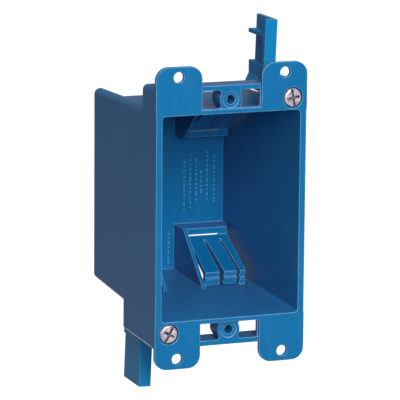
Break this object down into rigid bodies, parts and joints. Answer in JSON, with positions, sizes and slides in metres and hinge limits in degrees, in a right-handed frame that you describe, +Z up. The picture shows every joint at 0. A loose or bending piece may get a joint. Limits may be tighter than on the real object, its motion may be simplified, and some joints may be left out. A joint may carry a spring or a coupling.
{
  "type": "electrical box",
  "caption": "Single-gang plastic old-work wall box with corner ears, springy cable ramps and two screw-driven swing flags that clamp it to the wall board.",
  "frame": {"origin": "centre of the front face, midway between the four ear holes", "axes": "+X right and +Z up as seen from the room, +Y into the wall"},
  "size_m": [0.0572, 0.0735, 0.1326],
  "materials": {
    "box_plastic": "satin moulded blue PVC",
    "flag_plastic": "satin moulded lighter blue plastic",
    "zinc_steel": "bright zinc plate"
  },
  "bodies": {
    "box": {"box_body": "box_plastic"},
    "top_screw": {"top_screw": "zinc_steel"},
    "top_flag": {"top_flag": "flag_plastic"},
    "bottom_screw": {"bottom_screw": "zinc_steel"},
    "bottom_flag": {"bottom_flag": "flag_plastic"}
  },
  "joints": [
    {"name": "top_swing", "type": "hinge", "parent": "box", "child": "top_screw", "pos_m": [0.0232, 0, 0.0414], "axis": [0, -1, 0], "range_deg": [0, 90]},
    {"name": "top_clamp", "type": "slide", "parent": "top_screw", "child": "top_flag", "axis": [0, 1, 0], "range_m": [-0.01, 0.003]},
    {"name": "bottom_swing", "type": "hinge", "parent": "box", "child": "bottom_screw", "pos_m": [-0.0232, 0, -0.0414], "axis": [0, -1, 0], "range_deg": [0, 90]},
    {"name": "bottom_clamp", "type": "slide", "parent": "bottom_screw", "child": "bottom_flag", "axis": [0, 1, 0], "range_m": [-0.0116, 0.0014]}
  ]
}
